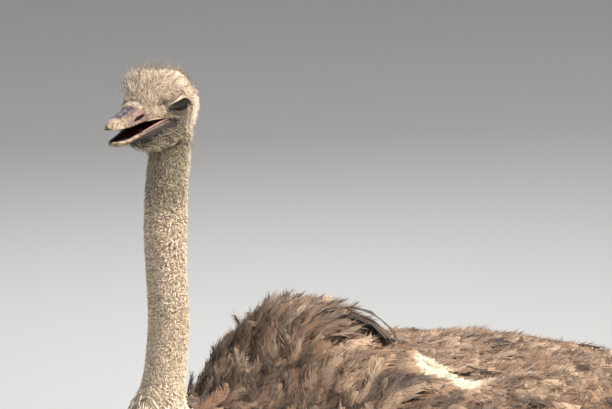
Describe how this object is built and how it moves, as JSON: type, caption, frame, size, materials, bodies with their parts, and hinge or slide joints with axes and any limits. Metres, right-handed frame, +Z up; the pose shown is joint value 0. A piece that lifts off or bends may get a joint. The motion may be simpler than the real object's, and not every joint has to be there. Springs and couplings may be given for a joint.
{
  "type": "ostrich",
  "caption": "Life-size standing ostrich hen as a still model, with her head turned slightly to the left and her bill ajar.",
  "frame": {"origin": "on the floor, at the middle of the whole bird's footprint box", "axes": "+Z up, the bird faces -Y, and her left side is towards +X"},
  "size_m": [0.612, 1.3354, 1.7361],
  "materials": {
    "plumage": "matte, shaggy grey-brown body plumes with paler fringes",
    "wing_plumes": "matte, shaggy grey-brown wing plumes with paler fringes",
    "tail_plumes": "matte, pale brown and off-white tail plumes",
    "down": "matte, short bristly curled down",
    "horn": "satin horn, pinkish grey with a cream tip",
    "eye": "wet gloss, dark brown",
    "bare_skin": "dull, finely wrinkled pinkish grey skin",
    "scutes": "satin, scaled grey-brown skin",
    "claw": "satin, dark horn"
  },
  "bodies": {
    "root": {"head": "down", "bill_upper": "horn", "bill_lower": "horn", "eye_left": "eye", "eye_right": "eye", "neck_upper": "down", "neck_middle": "down", "neck_lower": "down", "trunk": "plumage", "tail": "tail_plumes", "wing_left": "wing_plumes", "wing_right": "wing_plumes", "thigh_left": "bare_skin", "thigh_right": "bare_skin", "shank_left": "scutes", "shank_right": "scutes", "foot_left": "scutes", "foot_right": "scutes", "claw_left": "claw", "claw_right": "claw"}
  },
  "joints": []
}
